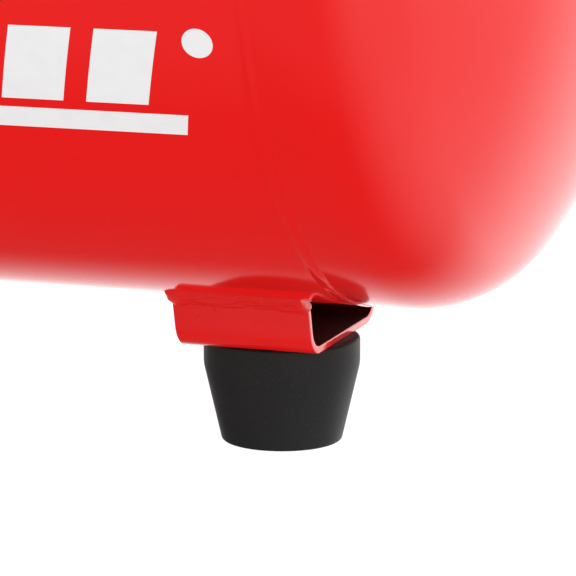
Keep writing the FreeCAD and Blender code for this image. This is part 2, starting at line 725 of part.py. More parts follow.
def handle_path(body):
    start = "-handle_tail"
    turn = "handle_reach - handle_bend"
    inner = f"({TUBE_LINE} - handle_bend)"
    points = [
        (start, f"-{TUBE_LINE}"), (turn, f"-{TUBE_LINE}", "handle_bend"), ("handle_reach", f"-{inner}"),
        ("handle_reach", inner, "handle_bend"), (turn, TUBE_LINE), (start, TUBE_LINE),
    ]
    return outline(body, "XY_Plane", points, closed=False)


def handle_pipe(radius):
    """Bent bow of a tube, along the handle's own X."""
    body = body_with("HandlePipe")
    path = handle_path(body)
    profile = body.newObject("Sketcher::SketchObject", "Section")
    profile.AttachmentSupport = [(plane_of(body, "YZ_Plane"), "")]
    profile.MapMode = "FlatFace"
    profile.setExpression(".AttachmentOffset.Base.z", ex("-handle_tail"))
    profile.addGeometry(Part.Circle(Vector(-value(TUBE_LINE), 0, 0), UP, value(radius)), False)
    profile.addConstraint(Sketcher.Constraint("PointOnObject", 0, 3, -1))
    for name, kind, text, pair in (("offset", "DistanceX", f"-{TUBE_LINE}", (-1, 1, 0, 3)),
                                   ("radius", "Radius", radius, (0,))):
        index = profile.addConstraint(Sketcher.Constraint(kind, *pair, value(text)))
        profile.renameConstraint(index, name)
        profile.setExpression(f"Constraints.{name}", ex(text))
    doc.recompute()
    pipe = body.newObject("PartDesign::AdditivePipe", "Pipe")
    pipe.Profile = profile
    pipe.Spine = (path, [f"Edge{index + 1}" for index in range(5)])
    body.Tip = pipe
    return to_handle(body)


def to_handle(thing):
    """Lean the handle's own frame about its lower bolt."""
    thing.Placement = Placement(Vector(), Rotation(FRONT, value("handle_lean")))
    bind(thing, **{".Placement.Base.x": "handle_x", ".Placement.Base.z": "handle_z"})
    thing.setExpression(".Placement.Rotation.Angle", ex("handle_lean"))
    return thing


def along_handle(distance):
    return (f"(handle_x + ({distance}) * cos(handle_lean))", f"(handle_z + ({distance}) * sin(handle_lean))")


def handle_ear():
    points = [
        ("handle_x - ear_back", "axis_height + 100"),
        ("handle_x + ear_front", "axis_height + 100"),
        ("handle_x + ear_front", "axis_height + 140"),
        ("handle_x + ear_front - 10", "handle_z + ear_rise"),
        ("handle_x + 2", "handle_z + ear_rise"),
        ("handle_x - ear_back + 10", "handle_z + 2"),
    ]
    ear = pad("Ear", "XZ_Plane", points, "ear_sheet", offset="ear_inner + ear_sheet / 2")
    top = value("axis_height + 130")
    round_edges(ear, "7", lambda edge, spot: runs_along(edge, BACK) and spot.z > top)
    holes = []
    for distance in ("0", "handle_pitch"):
        x, z = along_handle(distance)
        holes.append(cylinder("bolt_eight", "40", x, "20 - ear_inner", z, FRONT))
    return cut(ear, tank_cylinder(), *holes)


def build_handle():
    ear = handle_ear()
    node(group(ear, mirror(ear, BACK)), "handle_ears")
    meet_z = "(axis_height + sqrt(tank_radius ^ 2 - (ear_inner + ear_sheet) ^ 2))"
    bead = cylinder("bead * 0.8", "ear_back + ear_front", "handle_x - ear_back", "-ear_inner - ear_sheet - 1",
                    f"{meet_z} - 0.5", EAST)
    bead = cut(bead, tank_cylinder(), box("200", "ear_sheet", "100", "handle_x", "-ear_inner - ear_sheet / 2",
                                         "axis_height + 90"))
    node(group(bead, mirror(bead, BACK)), "handle_ear_welds")
    bolts, nuts, holes = [], [], []
    outer = "(ear_inner + ear_sheet + 2 * tube_radius)"
    inner = "ear_inner"
    for distance in ("0", "handle_pitch"):
        x, z = along_handle(distance)
        head = hexagon("flats_eight", "head_eight", x, f"-{outer}", z, FRONT)
        shank = cylinder("bolt_eight", f"{outer} - {inner} + nut_eight + 2", x,
                         "nut_eight + 2 - ear_inner", z, FRONT)
        bolt = fuse(head, shank)
        nut = cut(hexagon("flats_eight", "nut_eight", x, "-ear_inner", z, BACK),
                  cylinder("bolt_eight", "20", x, "-ear_inner", z, BACK))
        bolts += [bolt, mirror(bolt, BACK)]
        nuts += [nut, mirror(nut, BACK)]
        holes.append(cylinder("bolt_eight", "300", x, "-150", z, BACK))
    node(group(*bolts), "handle_bolts")
    node(group(*nuts), "handle_nuts")
    node(cut(handle_pipe("tube_radius"), handle_pipe("tube_radius - tube_wall"), *holes), "handle_tube")
    x, z = along_handle("handle_reach")
    sleeve = tube("grip_radius", "tube_radius", "grip_length", x, "-grip_length / 2", z, BACK)
    collars = [tube("grip_radius + 2", "grip_radius", "3", x, f"{start}", z, BACK)
               for start in ("-grip_length / 2", "grip_length / 2 - 3")]
    node(fuse(sleeve, *collars), "handle_grip")


# ---- sockets, plugs and valves -----------------------------------------------

TANK_TOP = "(axis_height + tank_radius)"
PORT_TOP = "(axis_height + tank_radius + port_stand)"
TANK_LOW = "(axis_height - tank_radius)"
BOSS_FACE = f"({HEAD_APEX} + boss_stand)"


def top_socket(x, outer, bore):
    low = f"{TANK_TOP} - port_depth"
    return tube(outer, bore, "port_stand + port_depth", x, 0, low)


def socket_weld(x, outer):
    """Fillet weld round a socket on top of the shell."""
    low = f"{TANK_TOP} - fillet_weld"
    ring = cone(f"{outer} + 2 * fillet_weld", outer, "2 * fillet_weld", x, 0, low)
    return cut(ring, tank_cylinder(), cylinder(outer, "40", x, 0, f"{TANK_TOP} - 20"))


def build_sockets():
    node(top_socket("check_x", "port_half_radius", "port_half_bore"), "check_valve_socket")
    node(top_socket("switch_x", "port_three_radius", "port_three_bore"), "switch_socket")
    node(top_socket("safety_x", "port_quarter_radius", "port_quarter_bore"), "safety_valve_socket")
    drain = tube("port_quarter_radius", "port_quarter_bore", "drain_stand + port_depth + 2", 0, 0,
                 f"{TANK_LOW} - drain_stand")
    node(drain, "drain_socket")
    welds = [socket_weld("check_x", "port_half_radius"), socket_weld("switch_x", "port_three_radius"),
             socket_weld("safety_x", "port_quarter_radius")]
    under = cone("port_quarter_radius", "port_quarter_radius + 2 * fillet_weld", "2 * fillet_weld", 0, 0,
                 f"{TANK_LOW} - fillet_weld")
    welds.append(cut(under, tank_cylinder(), cylinder("port_quarter_radius", "40", 0, 0, f"{TANK_LOW} - 20")))
    node(group(*welds), "socket_welds")


def build_inspection():
    boss = tube("boss_radius", "boss_bore", "boss_stand + boss_depth", f"{HEAD_APEX} - boss_depth", 0,
                "axis_height", EAST)
    node(boss, "inspection_boss_right")
    node(mirror(boss, EAST), "inspection_boss_left")
    ring = cone("boss_radius + fillet_weld + 2.5", "boss_radius", "fillet_weld + 2.5",
                f"{HEAD_APEX} - 2.5", 0, "axis_height", EAST)
    inside = cylinder("boss_radius", "40", f"{HEAD_APEX} - 20", 0, "axis_height", EAST)
    weld = cut(ring, head_envelope(), inside)
    node(group(weld, mirror(weld, EAST)), "boss_welds")
    seal = tube("seal_radius", "boss_bore", "seal_thickness", BOSS_FACE, 0, "axis_height", EAST)
    node(group(seal, mirror(seal, EAST)), "plug_seals")
    seat = f"{BOSS_FACE} + seal_thickness"
    reach = "(boss_stand + boss_depth + seal_thickness - 1)"
    collar = cylinder("seal_radius", "2.5", seat, 0, "axis_height", EAST)
    thread = cylinder("boss_bore", reach, f"{seat} - {reach}", 0, "axis_height", EAST)
    head = hexagon("plug_flats", "plug_head", seat, 0, "axis_height", EAST)
    plug = node(fuse(collar, thread, head), "inspection_plug_right")
    node(mirror(plug, EAST), "inspection_plug_left")


CHECK_SEAT = f"({PORT_TOP} + check_rise)"
CHECK_SHELF = f"({PORT_TOP} + check_floor)"
DISC_LOW = f"({CHECK_SEAT} - valve_gap - disc_thickness)"
SIDE_PORT = f"({PORT_TOP} + side_port_height)"


def coil(radius, wire, low, high, turns, x):
    """Helical spring between two heights; its wire keeps a little clear of both."""
    spring = doc.addObject("Part::Feature", "Coil")
    across, thick = value(radius), value(wire)
    rise = value(f"{high} - ({low}) - 2 * {wire} - 2 * spring_gap")
    helix = Part.makeHelix(rise / turns, rise, across)
    section = Part.Wire(Part.Circle(Vector(across, 0, 0), BACK, thick).toShape())
    spring.Shape = Part.Wire(helix).makePipeShell([section], True, True)
    spring.Placement = Placement(Vector(value(x), 0, value(f"{low} + {wire} + spring_gap")), Rotation())
    return spring


def build_check_valve():
    x = "check_x"
    thread = cylinder("port_half_bore", "thread_half", x, 0, f"{PORT_TOP} - thread_half")
    flats = hexagon("check_flats", "hexagon_height", x, 0, PORT_TOP)
    barrel = cylinder("check_barrel", "check_rise", x, 0, PORT_TOP)
    side = cylinder("side_port_radius", "side_port_reach", x, 0, SIDE_PORT, FRONT)
    chamber = cylinder("check_chamber", "check_rise", x, 0, CHECK_SHELF)
    outlet = cylinder("check_way", "2 * check_rise", x, 0, f"{PORT_TOP} - check_rise")
    bleed = cylinder("port_eighth_bore", "side_port_reach", x, "-check_barrel - 1", SIDE_PORT, FRONT)
    bleed_way = cylinder("bleed_radius", "side_port_reach", x, 0, SIDE_PORT, FRONT)
    node(cut(fuse(thread, flats, barrel, side), chamber, outlet, bleed, bleed_way), "check_valve_body")
    cap = fuse(hexagon("check_flats", "hexagon_height", x, 0, CHECK_SEAT),
               cylinder("check_barrel - 1", "cap_height", x, 0, CHECK_SEAT))
    inlet = cylinder("port_three_bore", "cap_height", x, 0, f"{CHECK_SEAT} + cap_floor")
    seat_hole = cylinder("check_way - 0.5", "cap_height", x, 0, f"{CHECK_SEAT} - cap_floor")
    node(cut(cap, inlet, seat_hole), "check_valve_cap")
    disc = cylinder("check_chamber - 1.3", "disc_thickness", x, 0, DISC_LOW)
    boss = cylinder("disc_boss", "disc_thickness / 2", x, 0, f"{DISC_LOW} - disc_thickness / 2")
    node(fuse(disc, boss), "check_disc")
    node(coil("check_coil", "check_wire", CHECK_SHELF, DISC_LOW, 5, x), "check_spring")


SAFETY_SEAT = f"({PORT_TOP} + nozzle_height)"
SAFETY_DISC = f"({SAFETY_SEAT} + valve_gap)"
SAFETY_ROOF = f"({PORT_TOP} + safety_rise)"


def build_safety_valve():
    x = "safety_x"
    thread = cylinder("port_quarter_bore", "thread_quarter", x, 0, f"{PORT_TOP} - thread_quarter")
    flats = hexagon("valve_flats", "hexagon_height", x, 0, PORT_TOP)
    nozzle = cylinder("nozzle_radius", "nozzle_height", x, 0, PORT_TOP)
    way = cylinder("nozzle_way", "2 * safety_rise", x, 0, f"{PORT_TOP} - safety_rise")
    node(cut(fuse(thread, flats, nozzle), way), "safety_valve_body")
    shell = cylinder("safety_barrel", "safety_rise - hexagon_height", x, 0, f"{PORT_TOP} + hexagon_height")
    room = cylinder("safety_room", "safety_rise - nozzle_height", x, 0, SAFETY_SEAT)
    neck = cylinder("nozzle_radius", "nozzle_height", x, 0, f"{PORT_TOP} + hexagon_height / 2")
    vent = cylinder("vent_radius", "4 * safety_barrel", x, "-2 * safety_barrel", f"{SAFETY_SEAT} + 5", BACK)
    ceiling = cylinder("safety_barrel", "roof_thickness", x, 0, SAFETY_ROOF)
    stem_hole = cylinder("stem_radius + slide_play", "4 * roof_thickness", x, 0,
                         f"{SAFETY_ROOF} - roof_thickness")
    node(cut(fuse(cut(shell, room), ceiling), neck, stem_hole, vent), "safety_valve_bonnet")
    disc = cylinder("safety_disc", "roof_thickness", x, 0, SAFETY_DISC)
    stem = cylinder("stem_radius", "stem_length", x, 0, SAFETY_DISC)
    node(fuse(disc, stem), "safety_stem")
    knob_low = f"{SAFETY_ROOF} + knob_lift"
    knob = tube("knob_radius", "stem_radius", "knob_height", x, 0, knob_low)
    node(knurled(knob, "knob_radius", x, knob_low, 24), "safety_pull_knob")
    above_disc = f"{SAFETY_DISC} + roof_thickness"
    node(coil("safety_coil", "safety_wire", above_disc, SAFETY_ROOF, 6, x), "safety_spring")


def knurled(thing, radius, x, low, count):
    """Cut straight grip grooves round a knob."""
    grooves = []
    for index in range(count):
        angle = 360 * index / count
        grooves.append(cylinder("knurl_radius", "2 * knob_height", f"{x} + {radius} * cos({angle})",
                                f"{radius} * sin({angle})", f"{low} - knob_height / 2"))
    return cut(thing, *grooves)


DRAIN_FACE = f"({TANK_LOW} - drain_stand)"
NEEDLE_LOW = f"({DRAIN_FACE} - needle_depth)"
WING_TOP = f"({DRAIN_FACE} - drain_length - 2 * valve_gap)"


def build_drain():
    thread = cylinder("port_quarter_bore", "drain_stand + 4", 0, 0, DRAIN_FACE)
    flats = hexagon("valve_flats", "hexagon_height - 1", 0, 0, DRAIN_FACE, DOWN)
    barrel = cylinder("drain_barrel", "drain_length", 0, 0, DRAIN_FACE, DOWN)
    spout = cylinder("spout_radius", "spout_length", 0, 0, f"{DRAIN_FACE} - spout_depth", FRONT)
    way = cylinder("drain_way", "2 * drain_length", 0, 0, f"{DRAIN_FACE} - 6")
    room = cylinder("drain_room", "2 * drain_length", 0, 0, f"{DRAIN_FACE} - 4", DOWN)
    outlet = cylinder("drain_way", "2 * spout_length", 0, 0, f"{DRAIN_FACE} - spout_depth", FRONT)
    node(cut(fuse(thread, flats, barrel, spout), way, room, outlet), "drain_valve_body")
    nose = cone("drain_way + 0.8", "drain_way - 0.3", "needle_height", 0, 0, f"{NEEDLE_LOW} + needle_height")
    stem = cylinder("drain_room - slide_play", "needle_height", 0, 0, NEEDLE_LOW)
    node(fuse(nose, stem), "drain_needle")
    screw = cylinder("drain_room - slide_play", "screw_length", 0, 0, f"{NEEDLE_LOW} - valve_gap", DOWN)
    hub = cylinder("wing_hub", "wing_height", 0, 0, WING_TOP, DOWN)
    half = [("5", f"{WING_TOP} - wing_height"), ("wing_reach", f"{WING_TOP} - wing_height + 1"),
            ("wing_reach - 1", WING_TOP), ("5", f"{WING_TOP} - 1")]
    far = [(f"-({across})", up) for across, up in reversed(half)]
    wings = pad("DrainWings", "XZ_Plane", half + far, "wing_sheet")
    round_edges(wings, "2.5", lambda edge, spot: runs_along(edge, BACK) and abs(spot.x) > 12)
    node(fuse(screw, hub, wings), "drain_wing_screw")


def build_data_plate():
    """Blank plate bonded to the back of the shell."""
    ring = tube("tank_radius + label_sheet", "tank_radius", "label_length", "label_x - label_length / 2", 0,
                "axis_height", EAST)
    window = box("label_length", "60", "label_width", "label_x", "tank_radius", "axis_height - 20")
    node(common(ring, window), "data_plate")


def check_and_export():
    doc.recompute()
    for thing in doc.Objects:
        bad = {"Invalid", "Error"} & set(thing.State)
        if bad:
            raise RuntimeError(f"{thing.Label} ({thing.Name}) is {bad}")
    labels = [thing.Label for thing in nodes]
    if len(set(labels)) != len(labels) or len(labels) > 60:
        raise RuntimeError(f"bad set of {len(labels)} labels")
    for thing in nodes:
        if thing.Shape.isNull() or not thing.Shape.isValid() or not thing.Shape.Solids:
            raise RuntimeError(f"{thing.Label} has no valid solid")
    os.makedirs("parts", exist_ok=True)
    for thing in nodes:
        thing.Shape.exportStep(f"parts/{thing.Label}.step")
        solids = thing.Shape.Solids
        print(f"{thing.Label}: {len(solids)} solids, {sum(solid.Volume for solid in solids):.1f} mm3")


fill_sheet()
build_vessel()
build_foot()
build_wheels()
build_platform()
build_handle()
build_sockets()
build_inspection()
build_check_valve()
build_safety_valve()
build_drain()
build_data_plate()
check_and_export()
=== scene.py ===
import math
import random

import bmesh
import bpy
from bpy.props import FloatProperty, FloatVectorProperty, IntProperty, PointerProperty
from mathutils import Matrix, Vector, noise


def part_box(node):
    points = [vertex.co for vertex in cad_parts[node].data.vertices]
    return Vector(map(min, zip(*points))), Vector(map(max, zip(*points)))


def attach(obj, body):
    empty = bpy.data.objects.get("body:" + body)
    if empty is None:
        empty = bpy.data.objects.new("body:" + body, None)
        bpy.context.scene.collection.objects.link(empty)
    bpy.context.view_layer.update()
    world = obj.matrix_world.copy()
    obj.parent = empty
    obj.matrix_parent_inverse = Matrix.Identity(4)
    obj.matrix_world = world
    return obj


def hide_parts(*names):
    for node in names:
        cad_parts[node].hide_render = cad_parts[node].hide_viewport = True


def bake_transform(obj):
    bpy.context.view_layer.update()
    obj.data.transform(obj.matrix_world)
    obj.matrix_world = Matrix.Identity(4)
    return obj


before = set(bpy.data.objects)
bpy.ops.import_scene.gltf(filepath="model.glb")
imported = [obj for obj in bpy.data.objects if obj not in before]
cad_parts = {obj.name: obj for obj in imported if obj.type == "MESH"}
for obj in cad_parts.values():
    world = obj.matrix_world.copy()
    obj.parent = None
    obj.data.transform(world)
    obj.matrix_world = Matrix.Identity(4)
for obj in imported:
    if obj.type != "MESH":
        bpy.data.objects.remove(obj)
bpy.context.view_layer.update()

bl_info = {
    "name": "Air receiver tank",
    "version": (1, 0, 0),
    "blender": (4, 5, 0),
    "location": "View3D > Sidebar > Receiver",
    "description": "Builds the visible surfaces of a wheeled compressor's air receiver",
    "category": "Object",
}

MM = 0.001
AXIS_X, AXIS_Y, AXIS_Z = Vector((1, 0, 0)), Vector((0, 1, 0)), Vector((0, 0, 1))


def middle(node):
    low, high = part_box(node)
    return (low + high) / 2


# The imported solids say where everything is.
SHELL_LOW, SHELL_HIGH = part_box("shell")
TANK_RADIUS = (SHELL_HIGH.z - SHELL_LOW.z) / 2
TANK_Z = (SHELL_HIGH.z + SHELL_LOW.z) / 2
SHELL_END = SHELL_HIGH.x
FOOT_LOW, FOOT_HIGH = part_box("rubber_foot")
FOOT_AXIS = Vector(((FOOT_LOW.x + FOOT_HIGH.x) / 2, 0, 0))
FOOT_TOP = FOOT_HIGH.z
BRACKET_LOW, BRACKET_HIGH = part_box("foot_bracket")


def length_property(name, description, millimetres):
    return FloatProperty(name=name, description=description, default=millimetres * MM, unit="LENGTH")


def colour_property(name, description, shade):
    return FloatVectorProperty(name=name, description=description, default=shade, subtype="COLOR")


class ReceiverSizes(bpy.types.PropertyGroup):
    wall: length_property("Wall", "Sheet of shell and heads", 2.5)
    knuckle: length_property("Knuckle", "Knuckle radius of a head", 37)
    dish: length_property("Dish", "Crown radius of a head", 240)
    skirt: length_property("Skirt", "Straight skirt of a head beyond the seam", 15)
    seam_width: length_property("Seam width", "Width of the painted girth seam", 4.2)
    seam_crown: length_property("Seam crown", "Height of the girth seam", 0.22)
    round_steps: IntProperty(name="Round steps", description="Steps round the tank", default=256)
    bracket_sheet: length_property("Bracket sheet", "Sheet of the foot bracket", 2.4)
    bracket_bend: length_property("Bracket bend", "Outer bend radius of the bracket", 10)
    bracket_corner: length_property("Bracket corner", "Half width of the bracket's base", 30.9)
    bracket_offset: length_property("Bracket offset", "Bracket middle behind the foot axis", 1.5)
    bracket_flare: FloatProperty(name="Bracket flare", description="Lean of the bracket's flanges",
                                 default=math.radians(15), subtype="ANGLE")


class ReceiverColours(bpy.types.PropertyGroup):
    enamel: colour_property("Enamel", "Red of the tank", (0.72, 0.0045, 0.0035))
    foot_rubber: colour_property("Foot rubber", "Black of the foot", (0.013, 0.013, 0.013))
    print_grey: colour_property("Print", "Pale grey of the printed stripes", (0.72, 0.72, 0.72))


def sizes():
    return bpy.context.scene.receiver_sizes


def colours():
    return bpy.context.scene.receiver_colours


# ---- shader maths ------------------------------------------------------------


# Sockets of a Mix node that are for colours, which share their names with those for numbers.
MIX_FACTOR, MIX_FIRST, MIX_SECOND, MIX_RESULT = 0, 6, 7, 2


class Wire:
    """An output socket that takes part in arithmetic."""

    def __init__(self, graph, socket):
        self.graph = graph
        self.socket = socket

    def maths(self, operation, other):
        return self.graph.node("ShaderNodeMath", {"operation": operation}, {0: self, 1: other})

    def __add__(self, other):
        return self.maths("ADD", other)

    def __mul__(self, other):
        return self.maths("MULTIPLY", other)


class Graph:
    """A node tree, and the node in it that the others feed."""

    def __init__(self, tree, surface):
        self.tree = tree
        self.surface = tree.nodes[surface]

    def node(self, kind, settings=None, sockets=None, output=0):
        made = self.tree.nodes.new(kind)
        for name, value in (settings or {}).items():
            if name == "stops":
                self.set_stops(made.color_ramp, value)
            else:
                setattr(made, name, value)
        for name, value in (sockets or {}).items():
            if isinstance(value, Wire):
                self.tree.links.new(value.socket, made.inputs[name])
            else:
                made.inputs[name].default_value = value
        return Wire(self, made.outputs[output])

    @staticmethod
    def set_stops(ramp, stops):
        """Colour stops as (place, colour), where a lone number stands for a grey."""
        while len(ramp.elements) < len(stops):
            ramp.elements.new(1)
        for element, (place, colour) in zip(ramp.elements, stops):
            element.position = place
            shade = colour if isinstance(colour, tuple) else (colour, colour, colour)
            element.color = (*shade, 1)

    def feed(self, socket, wire):
        self.tree.links.new(wire.socket, self.surface.inputs[socket])


class Shader(Graph):
    """One material: a Principled shader with its constants, and the nodes that feed it."""

    def __init__(self, name, **constants):
        self.material = bpy.data.materials.new(name)
        self.material.use_nodes = True
        super().__init__(self.material.node_tree, "Principled BSDF")
        for socket, value in constants.items():
            title = socket.replace("_", " ").title().replace("Ior", "IOR")
            self.surface.inputs[title].default_value = value

    def place(self, scale):
        here = self.node("ShaderNodeTexCoord", output="Object")
        return self.node("ShaderNodeMapping", {}, {"Vector": here, "Scale": scale})

    def noise(self, scale, detail=4, rough=0.55, stretch=(1, 1, 1)):
        sockets = {"Vector": self.place(stretch), "Scale": scale, "Detail": detail, "Roughness": rough}
        return self.node("ShaderNodeTexNoise", {}, sockets)

    def ramp(self, wire, *stops):
        return self.node("ShaderNodeValToRGB", {"stops": stops}, {"Fac": wire})

    def mix(self, factor, first, second):
        """Blend of two colours, each a wire or an (r, g, b) tuple."""
        ends = [(*end, 1) if isinstance(end, tuple) else end for end in (first, second)]
        sockets = dict(zip((MIX_FACTOR, MIX_FIRST, MIX_SECOND), (factor, *ends)))
        return self.node("ShaderNodeMix", {"data_type": "RGBA"}, sockets, MIX_RESULT)

    def bump(self, height, distance, strength=1.0, under=None):
        sockets = {"Height": height, "Distance": distance, "Strength": strength}
        if under is not None:
            sockets["Normal"] = under
        return self.node("ShaderNodeBump", {}, sockets)


def darker(colour, share):
    return tuple(channel * share for channel in colour)


def enamel(name="enamel", roughness=0.1, streaks=0.0):
    """Glossy stove enamel with faint orange peel, drifting tone and a few dust nibs."""
    red = tuple(colours().enamel)
    paint = Shader(name, specular_ior_level=0.5)
    drift = paint.ramp(paint.noise(5, 3), (0.3, 0.0), (0.75, 1.0))
    tone = paint.mix(drift, red, darker(red, 0.93))
    nibs = paint.ramp(paint.noise(900, 1), (0.74, 0.0), (0.8, 1.0))
    paint.feed("Base Color", paint.mix(nibs * 0.35, tone, darker(red, 0.7)))
    paint.feed("Roughness", drift * 0.03 + paint.noise(60, 5) * 0.04 + (roughness - 0.03))
    peel = paint.bump(paint.noise(420, 2), 0.00005, 0.25)
    skin = paint.bump(paint.noise(28, 2), 0.0012, 0.04, peel)
    if streaks:
        drawn = paint.noise(260, 6, 0.65, (0.22, 1, 1))
        lumps = paint.noise(900, 4, 0.6, (0.5, 1, 1))
        skin = paint.bump(drawn + lumps * 0.5, 0.0009 * streaks, 0.9, skin)
    paint.feed("Normal", skin)
    return paint.material


def painted_shade_enamel():
    """Painted shade: near-black, dull paint on the inner faces of the foot bracket, standing in for the
    shadow inside the channel.
    """
    shade_coat = Shader("painted_shade_enamel", specular_ior_level=0.2)
    patch = shade_coat.ramp(shade_coat.noise(90, 5), (0.35, 0.0), (0.7, 1.0))
    shade_coat.feed("Base Color", shade_coat.mix(patch, (0.03, 0.002, 0.002), (0.009, 0.003, 0.003)))
    shade_coat.feed("Roughness", shade_coat.noise(200, 4) * 0.2 + 0.45)
    shade_coat.feed("Normal", shade_coat.bump(shade_coat.noise(900, 3), 0.00008, 0.5))
    return shade_coat.material


def rubber(name, colour, roughness=0.62, dust=0.05):
    """Moulded rubber with a matt skin, faint mould lines and dust in its grain."""
    black = Shader(name, specular_ior_level=0.12)
    cloud = black.ramp(black.noise(26, 5), (0.35, 0.0), (0.7, 1.0))
    speck = black.ramp(black.noise(1400, 2), (0.62, 0.0), (0.72, 1.0))
    worn = black.mix(cloud * dust, colour, (0.16, 0.15, 0.14))
    black.feed("Base Color", black.mix(speck * 0.12, worn, (0.1, 0.1, 0.1)))
    black.feed("Roughness", black.noise(90, 6) * 0.18 + (roughness - 0.09))
    grain = black.bump(black.noise(2600, 3), 0.00008, 0.5)
    rings = black.bump(black.noise(120, 3, 0.5, (0.25, 0.25, 4)), 0.0002, 0.25, grain)
    black.feed("Normal", rings)
    return black.material


def zinc():
    """Zinc plate: satin grey, slightly blue and yellow in patches, finely scratched."""
    metal = Shader("zinc_plate", metallic=1.0)
    patch = metal.ramp(metal.noise(70, 4), (0.35, 0.0), (0.7, 1.0))
    metal.feed("Base Color", metal.mix(patch, (0.62, 0.63, 0.65), (0.68, 0.64, 0.52)))
    metal.feed("Roughness", metal.noise(500, 6) * 0.2 + 0.2)
    metal.feed("Normal", metal.bump(metal.noise(1800, 4, 0.6, (1, 0.15, 1)), 0.00006, 0.5))
    return metal.material


def brass():
    """Turned brass, a little tarnished in its hollows."""
    metal = Shader("turned_brass", metallic=1.0)
    tarnish = metal.ramp(metal.noise(130, 5), (0.42, 0.0), (0.75, 1.0))
    metal.feed("Base Color", metal.mix(tarnish, (0.80, 0.58, 0.25), (0.44, 0.29, 0.12)))
    metal.feed("Roughness", tarnish * 0.2 + 0.2)
    metal.feed("Normal", metal.bump(metal.noise(900, 3, 0.5, (0.1, 0.1, 4)), 0.00006, 0.5))
    return metal.material


def plastic(name, colour, roughness=0.42):
    """Moulded plastic with a fine spark-eroded grain."""
    cast = Shader(name, specular_ior_level=0.45)
    cloud = cast.ramp(cast.noise(20, 4), (0.35, 0.0), (0.7, 1.0))
    paler = tuple(min(1, channel * 1.35 + 0.004) for channel in colour)
    cast.feed("Base Color", cast.mix(cloud, colour, paler))
    cast.feed("Roughness", cast.noise(200, 4) * 0.12 + (roughness - 0.06))
    cast.feed("Normal", cast.bump(cast.noise(2200, 2), 0.00007, 0.5))
    return cast.material


def powder_coat():
    """Satin black powder coat with orange peel, rubbed where hands and straps touch it."""
    coat = Shader("powder_coat", specular_ior_level=0.5)
    rubbed = coat.ramp(coat.noise(35, 6), (0.6, 0.0), (0.78, 1.0))
    coat.feed("Base Color", coat.mix(rubbed * 0.5, (0.018, 0.018, 0.019), (0.06, 0.06, 0.06)))
    coat.feed("Roughness", coat.noise(80, 4) * 0.15 + 0.3)
    coat.feed("Normal", coat.bump(coat.noise(700, 2), 0.00012, 0.6))
    return coat.material


def brushed_aluminium():
    metal = Shader("brushed_aluminium", metallic=1.0)
    metal.feed("Base Color", metal.mix(metal.noise(50, 3), (0.72, 0.72, 0.73), (0.62, 0.62, 0.63)))
    metal.feed("Roughness", metal.noise(800, 5, 0.6, (0.05, 1, 1)) * 0.25 + 0.25)
    metal.feed("Normal", metal.bump(metal.noise(1600, 4, 0.6, (0.03, 1, 1)), 0.00005, 0.5))
    return metal.material


def stripe_print():
    """Screen-printed pale grey, slightly worn, with the enamel's own waviness under it."""
    ink = Shader("stripe_print", specular_ior_level=0.4)
    grey = tuple(colours().print_grey)
    wear = ink.ramp(ink.noise(180, 5), (0.25, 0.0), (0.6, 1.0))
    ink.feed("Base Color", ink.mix(wear, darker(grey, 0.96), grey))
    ink.feed("Roughness", ink.noise(300, 4) * 0.1 + 0.3)
    ink.feed("Normal", ink.bump(ink.noise(1500, 2), 0.00004, 0.4))
    return ink.material


MADE = {}


def material_of(make, *words, **settings):
    """Make a material once and keep it by name."""
    key = f"{make.__name__} {words} {sorted(settings.items())}"
    if key not in MADE:
        MADE[key] = make(*words, **settings)
    return MADE[key]


# ---- mesh tools ----------------------------------------------------------------


def arc(centre, radius, start, end, count):
    """Points on an arc in a plane, angles in degrees, both ends included."""
    step = (end - start) / count
    angles = [math.radians(start + step * index) for index in range(count + 1)]
    return [(centre[0] + radius * math.cos(angle), centre[1] + radius * math.sin(angle)) for angle in angles]


def rounded(corners, count=4):
    """Closed outline whose corners, given as (across, up, radius), are rounded where radius isn't 0."""
    points = []
    total = len(corners)
    for index, (across, up, radius) in enumerate(corners):
        here = Vector((across, up))
        if radius == 0:
            points.append(tuple(here))
            continue
        before = (Vector(corners[index - 1][:2]) - here).normalized()
        after = (Vector(corners[(index + 1) % total][:2]) - here).normalized()
        half = before.angle(after) / 2
        reach = radius / math.tan(half)
        centre = here + (before + after).normalized() * radius / math.sin(half)
        first = here + before * reach - centre
        last = here + after * reach - centre
        turn = first.angle_signed(last)
        for step in range(count + 1):
            arm = first.copy()
            arm.rotate(Matrix.Rotation(-turn * step / count, 2))
            points.append(tuple(centre + arm))
    return points


def spun(points, place, steps=96):
    """Closed outline of (along, out) points turned round an axis; place maps them to a point in the frame."""
    centre, along, out = place
    bm = bmesh.new()
    ring = [bm.verts.new(centre + along * point[0] + out * point[1]) for point in points]
    sides = [bm.edges.new((ring[index - 1], ring[index])) for index in range(len(ring))]
    bmesh.ops.spin(bm, geom=ring + sides, cent=centre, axis=along, dvec=(0, 0, 0), angle=math.tau,
                   steps=steps, use_merge=True, use_normal_flip=False, use_duplicate=False)
    bmesh.ops.remove_doubles(bm, verts=bm.verts, dist=1e-7)
    bmesh.ops.recalc_face_normals(bm, faces=bm.faces)
    return bm


def extruded(points, place, length):
    """Closed outline of (across, up) points pushed out by length along the third direction."""
    origin, across, up, push = place
    bm = bmesh.new()
    ring = [bm.verts.new(origin + across * point[0] + up * point[1]) for point in points]
    face = bm.faces.new(ring)
    grown = bmesh.ops.extrude_face_region(bm, geom=[face])
    moved = [item for item in grown["geom"] if isinstance(item, bmesh.types.BMVert)]
    bmesh.ops.translate(bm, verts=moved, vec=push * length)
    bmesh.ops.recalc_face_normals(bm, faces=bm.faces)
    return bm


def soften(bm, edges, width, steps=2):
    bmesh.ops.bevel(bm, geom=list(edges), offset=width, offset_type="OFFSET", segments=steps, profile=0.5,
                    affect="EDGES", material=-1, clamp_overlap=True)
    return bm


